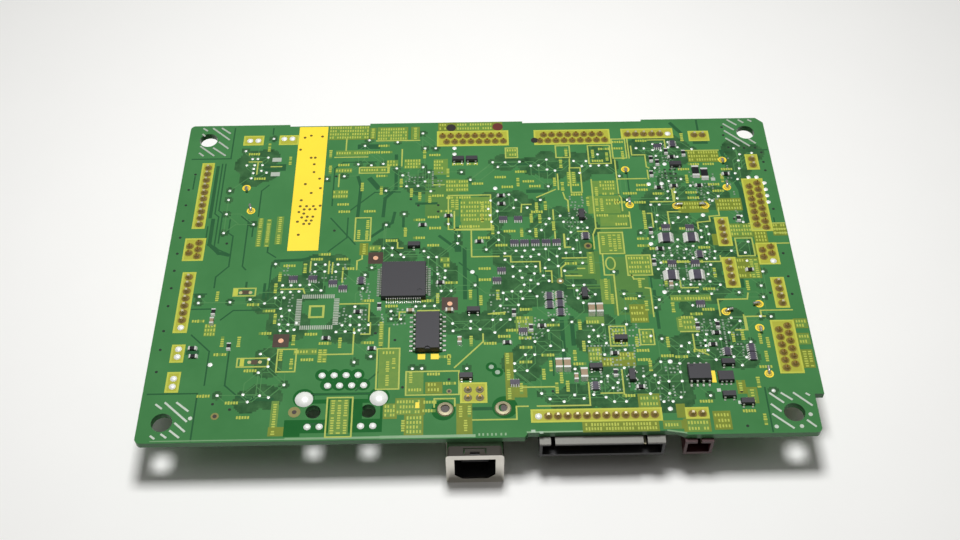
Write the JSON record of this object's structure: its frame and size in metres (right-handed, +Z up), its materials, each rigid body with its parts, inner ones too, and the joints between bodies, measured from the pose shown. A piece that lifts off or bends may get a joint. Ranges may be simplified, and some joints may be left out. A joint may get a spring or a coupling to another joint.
{
  "type": "printer formatter board",
  "caption": "Controller circuit board of an inkjet printer: green laminate with a USB socket, wire and flat-cable connectors, and chips on both faces.",
  "frame": {"origin": "middle of the whole outline in plan, at the level on which the board's tall components stand", "axes": "+X along the long edge to the right, +Y away from the edge with the USB socket, +Z up, out of the solder side"},
  "size_m": [0.1428, 0.0944, 0.0145],
  "materials": {
    "board_laminate": "solder-masked glass laminate, satin",
    "tin": "tin plating, satin",
    "solder": "reflowed solder, bright",
    "gold_contact": "gold-flashed contact",
    "socket_steel": "nickel-plated steel sheet",
    "black_moulding": "black glass-filled nylon",
    "ivory_moulding": "natural nylon",
    "grey_moulding": "grey nylon",
    "red_moulding": "red nylon",
    "flex_moulding": "beige glass-filled nylon",
    "chip_epoxy": "moulded black epoxy",
    "dark_ceramic": "glazed dark ceramic",
    "tan_ceramic": "fired tan ceramic",
    "choke_enamel": "lacquered ferrite",
    "can_aluminium": "drawn aluminium"
  },
  "bodies": {
    "root": {"circuit_board": "board_laminate", "usb_shell": "socket_steel", "usb_insulator": "black_moulding", "usb_contacts": "gold_contact", "left_header_10way": "ivory_moulding", "left_header_7way": "ivory_moulding", "rear_header_5way": "ivory_moulding", "rear_header_2way": "ivory_moulding", "right_header_2way": "ivory_moulding", "right_header_4way": "ivory_moulding", "middle_header_rear": "ivory_moulding", "middle_header_front": "ivory_moulding", "front_header_12way": "black_moulding", "front_header_lock": "grey_moulding", "front_header_2way": "red_moulding", "left_flex_5way": "flex_moulding", "rear_flex_16way": "flex_moulding", "rear_flex_17way": "flex_moulding", "right_flex_15way": "flex_moulding", "right_flex_4way": "flex_moulding", "right_flex_12way": "flex_moulding", "header_pins": "tin", "front_header_pins": "tin", "flex_contacts": "gold_contact", "header_solder": "solder", "flex_solder": "solder", "usb_solder": "solder", "filled_pads": "solder", "big_filled_pads": "solder", "qfp_body": "chip_epoxy", "qfp_leads": "tin", "wide_ic_body": "chip_epoxy", "wide_ic_leads": "tin", "small_ic_body": "chip_epoxy", "small_ic_leads": "tin", "transistor_bodies": "chip_epoxy", "transistor_leads": "tin", "chip_resistor_bodies": "dark_ceramic", "chip_resistor_ends": "tin", "chip_capacitor_bodies": "tan_ceramic", "chip_capacitor_ends": "tin", "resistor_array_bodies": "dark_ceramic", "resistor_array_ends": "tin", "sense_resistor_bodies": "dark_ceramic", "sense_resistor_ends": "tin", "choke_bodies": "choke_enamel", "choke_leads": "tin", "choke_solder": "solder", "capacitor_bases": "black_moulding", "capacitor_cans": "can_aluminium", "capacitor_terminals": "tin", "processor_body": "chip_epoxy", "processor_balls": "solder", "memory_body": "chip_epoxy", "memory_leads": "tin", "driver_bodies": "chip_epoxy", "driver_pads": "tin", "power_inductor": "dark_ceramic", "crystal_can": "can_aluminium"}
  },
  "joints": []
}
